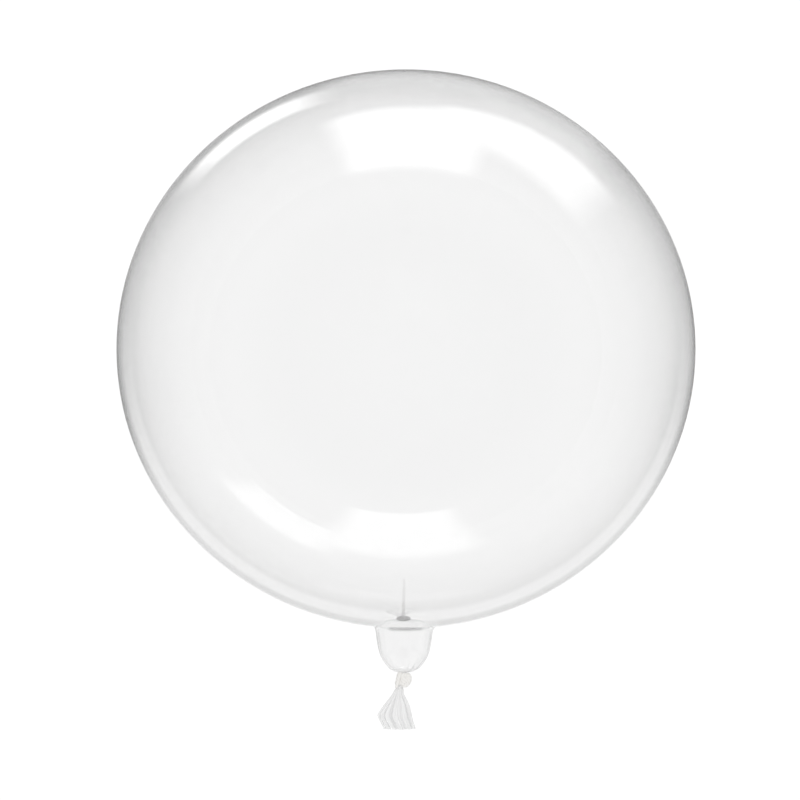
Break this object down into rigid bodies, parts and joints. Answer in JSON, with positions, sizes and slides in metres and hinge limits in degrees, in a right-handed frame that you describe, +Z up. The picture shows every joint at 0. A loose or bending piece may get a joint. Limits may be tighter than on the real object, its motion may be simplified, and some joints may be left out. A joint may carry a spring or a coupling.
{
  "type": "clear bubble balloon",
  "caption": "Round clear film balloon lying on its side, its cup-shaped neck gathered, tied with a soft cord and cut off as a short pleated tail.",
  "frame": {"origin": "middle of the small flat spot that the balloon lies on, straight below the middle of the ball", "axes": "+Z up, square to the flat spot; the neck and tail point along -Y; X runs across the ball"},
  "size_m": [0.457, 0.5217, 0.4547],
  "materials": {
    "clear_film": "clear, glossy blown plastic film, see-through, whitish where it is gathered",
    "tie_cord": "soft off-white twisted cord, matt"
  },
  "bodies": {
    "root": {"balloon_film": "clear_film", "neck_tie": "tie_cord"}
  },
  "joints": []
}
